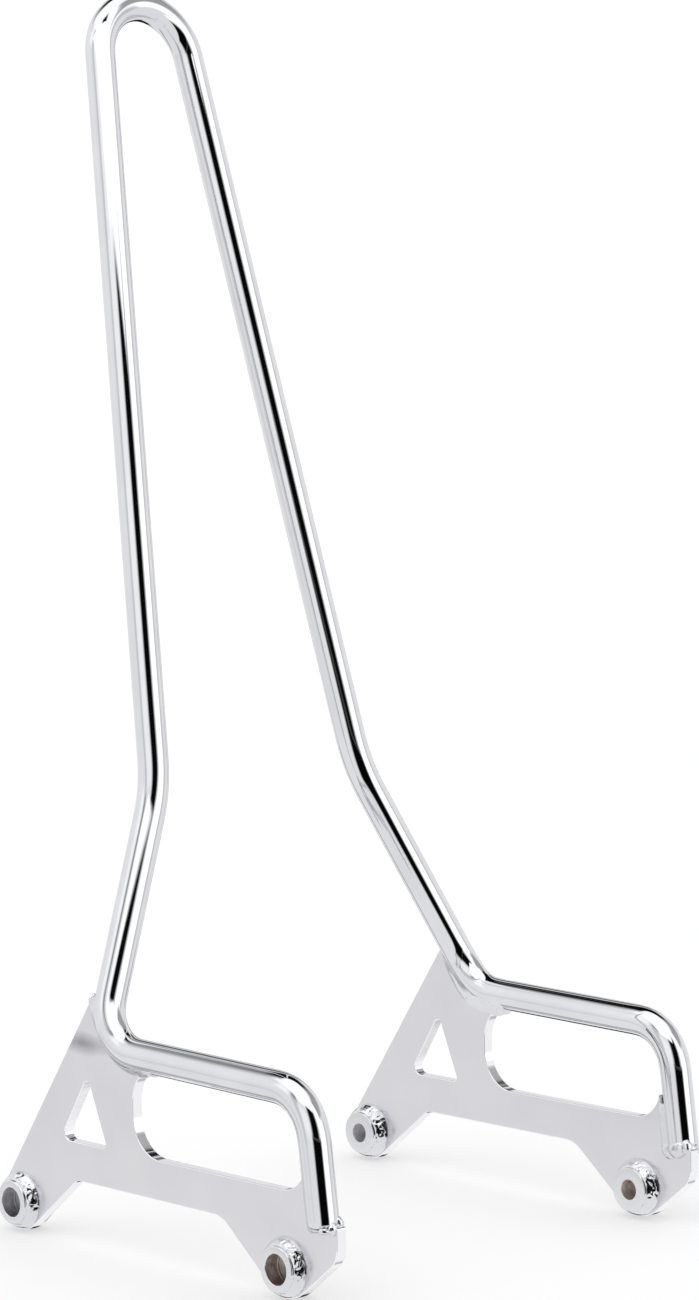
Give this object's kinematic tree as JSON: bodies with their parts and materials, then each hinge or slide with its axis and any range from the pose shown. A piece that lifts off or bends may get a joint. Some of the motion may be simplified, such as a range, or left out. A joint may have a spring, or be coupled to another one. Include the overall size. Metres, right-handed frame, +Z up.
{
  "type": "sissy bar",
  "caption": "Tall narrow chromed round-bar hoop, kinked inward above flat lobed side plates with a window, a triangle hole and counterbored bolt bosses.",
  "frame": {"origin": "on the middle plane between the side plates, at the height of the boss axes and midway between the rear and front bosses", "axes": "+X to the rider's left, along the boss axes; +Y to the rear; +Z up"},
  "size_m": [0.2128, 0.2349, 0.5139],
  "materials": {
    "bar": "polished, then chrome plated",
    "plate": "flat plate, chrome plated, slightly softer reflections than the bar",
    "boss": "turned, chrome plated outside, thinly plated in the bore",
    "weld": "as welded, chrome plated over the ripples"
  },
  "bodies": {
    "root": {"hoop_bar": "bar", "left_side_plate": "plate", "right_side_plate": "plate", "left_rear_boss": "boss", "left_front_boss": "boss", "right_rear_boss": "boss", "right_front_boss": "boss", "left_rear_outer_weld": "weld", "left_rear_inner_weld": "weld", "left_front_outer_weld": "weld", "left_front_inner_weld": "weld", "right_rear_outer_weld": "weld", "right_rear_inner_weld": "weld", "right_front_outer_weld": "weld", "right_front_inner_weld": "weld", "left_bend_outer_weld": "weld", "left_bend_inner_weld": "weld", "right_bend_outer_weld": "weld", "right_bend_inner_weld": "weld", "left_end_outer_weld": "weld", "left_end_inner_weld": "weld", "right_end_outer_weld": "weld", "right_end_inner_weld": "weld"}
  },
  "joints": []
}
